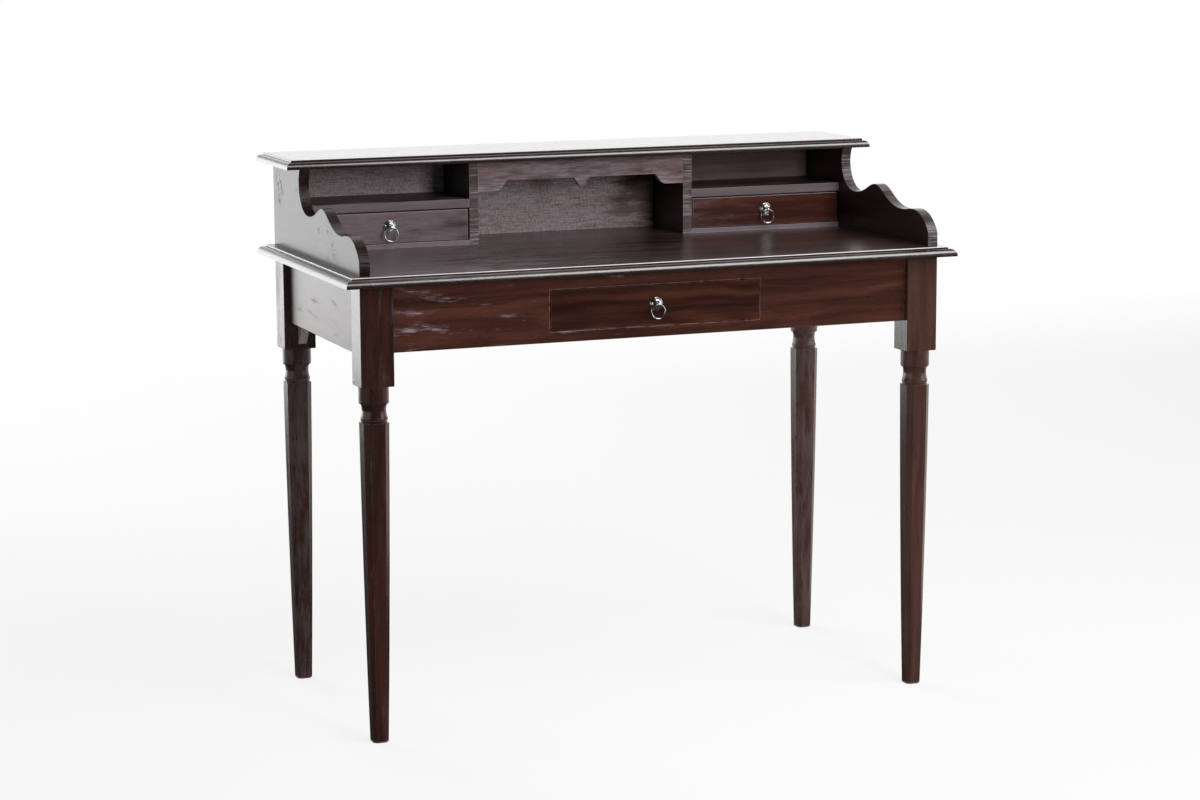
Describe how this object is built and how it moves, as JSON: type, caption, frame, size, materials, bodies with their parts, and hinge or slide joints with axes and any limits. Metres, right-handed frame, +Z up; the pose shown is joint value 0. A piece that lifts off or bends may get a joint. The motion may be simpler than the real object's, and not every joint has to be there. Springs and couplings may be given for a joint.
{
  "type": "writing desk",
  "caption": "Writing desk on turned, tapering legs with cut corners, with an apron drawer and a raised gallery of scrolled sides, pigeonholes and small drawers, all with ring pulls.",
  "frame": {"origin": "on the floor under the middle of the desk top", "axes": "+X to the sitter's right, +Y to the back, +Z up"},
  "size_m": [1.072, 0.524, 0.917],
  "materials": {
    "stained_wood": "dark red-brown stain under gloss varnish",
    "inner_wood": "plain, sanded",
    "nickel": "polished nickel",
    "screw_steel": "zinc plated"
  },
  "bodies": {
    "desk": {"leg_front_left": "stained_wood", "leg_front_right": "stained_wood", "leg_rear_left": "stained_wood", "leg_rear_right": "stained_wood", "front_apron": "stained_wood", "rear_apron": "stained_wood", "left_apron": "stained_wood", "right_apron": "stained_wood", "knee_front_left": "stained_wood", "knee_front_right": "stained_wood", "knee_rear_left": "stained_wood", "knee_rear_right": "stained_wood", "desk_top": "stained_wood", "left_runner": "stained_wood", "right_runner": "stained_wood", "left_kicker": "stained_wood", "right_kicker": "stained_wood", "left_cleat": "stained_wood", "right_cleat": "stained_wood", "top_screws": "screw_steel", "drawer_stops": "stained_wood", "gallery_left_side": "stained_wood", "gallery_right_side": "stained_wood", "left_divider": "stained_wood", "right_divider": "stained_wood", "left_shelf": "stained_wood", "right_shelf": "stained_wood", "left_drawer_floor": "stained_wood", "right_drawer_floor": "stained_wood", "gallery_top": "stained_wood", "gallery_back": "stained_wood", "valance": "stained_wood", "gallery_dowels": "inner_wood"},
    "main_drawer": {"main_drawer_front": "stained_wood", "main_drawer_left_side": "inner_wood", "main_drawer_right_side": "inner_wood", "main_drawer_back": "inner_wood", "main_drawer_bottom": "inner_wood", "main_drawer_rosette": "nickel", "main_drawer_eye": "nickel", "main_drawer_nut": "nickel"},
    "main_ring": {"main_drawer_ring": "nickel"},
    "left_drawer": {"left_drawer_front": "stained_wood", "left_drawer_left_side": "inner_wood", "left_drawer_right_side": "inner_wood", "left_drawer_back": "inner_wood", "left_drawer_bottom": "inner_wood", "left_drawer_rosette": "nickel", "left_drawer_eye": "nickel", "left_drawer_nut": "nickel"},
    "left_ring": {"left_drawer_ring": "nickel"},
    "right_drawer": {"right_drawer_front": "stained_wood", "right_drawer_left_side": "inner_wood", "right_drawer_right_side": "inner_wood", "right_drawer_back": "inner_wood", "right_drawer_bottom": "inner_wood", "right_drawer_rosette": "nickel", "right_drawer_eye": "nickel", "right_drawer_nut": "nickel"},
    "right_ring": {"right_drawer_ring": "nickel"}
  },
  "joints": [
    {"name": "main_drawer_slide", "type": "slide", "parent": "desk", "child": "main_drawer", "axis": [0, -1, 0], "range_m": [0, 0.27]},
    {"name": "main_ring_swing", "type": "hinge", "parent": "main_drawer", "child": "main_ring", "pos_m": [0, -0.2377, 0.6885], "axis": [-1, 0, 0], "range_deg": [-18, 198]},
    {"name": "left_drawer_slide", "type": "slide", "parent": "desk", "child": "left_drawer", "axis": [0, -1, 0], "range_m": [0, 0.085]},
    {"name": "left_ring_swing", "type": "hinge", "parent": "left_drawer", "child": "left_ring", "pos_m": [-0.34825, 0.0948, 0.79625], "axis": [-1, 0, 0], "range_deg": [-18, 198]},
    {"name": "right_drawer_slide", "type": "slide", "parent": "desk", "child": "right_drawer", "axis": [0, -1, 0], "range_m": [0, 0.085]},
    {"name": "right_ring_swing", "type": "hinge", "parent": "right_drawer", "child": "right_ring", "pos_m": [0.34825, 0.0948, 0.79625], "axis": [-1, 0, 0], "range_deg": [-18, 198]}
  ]
}
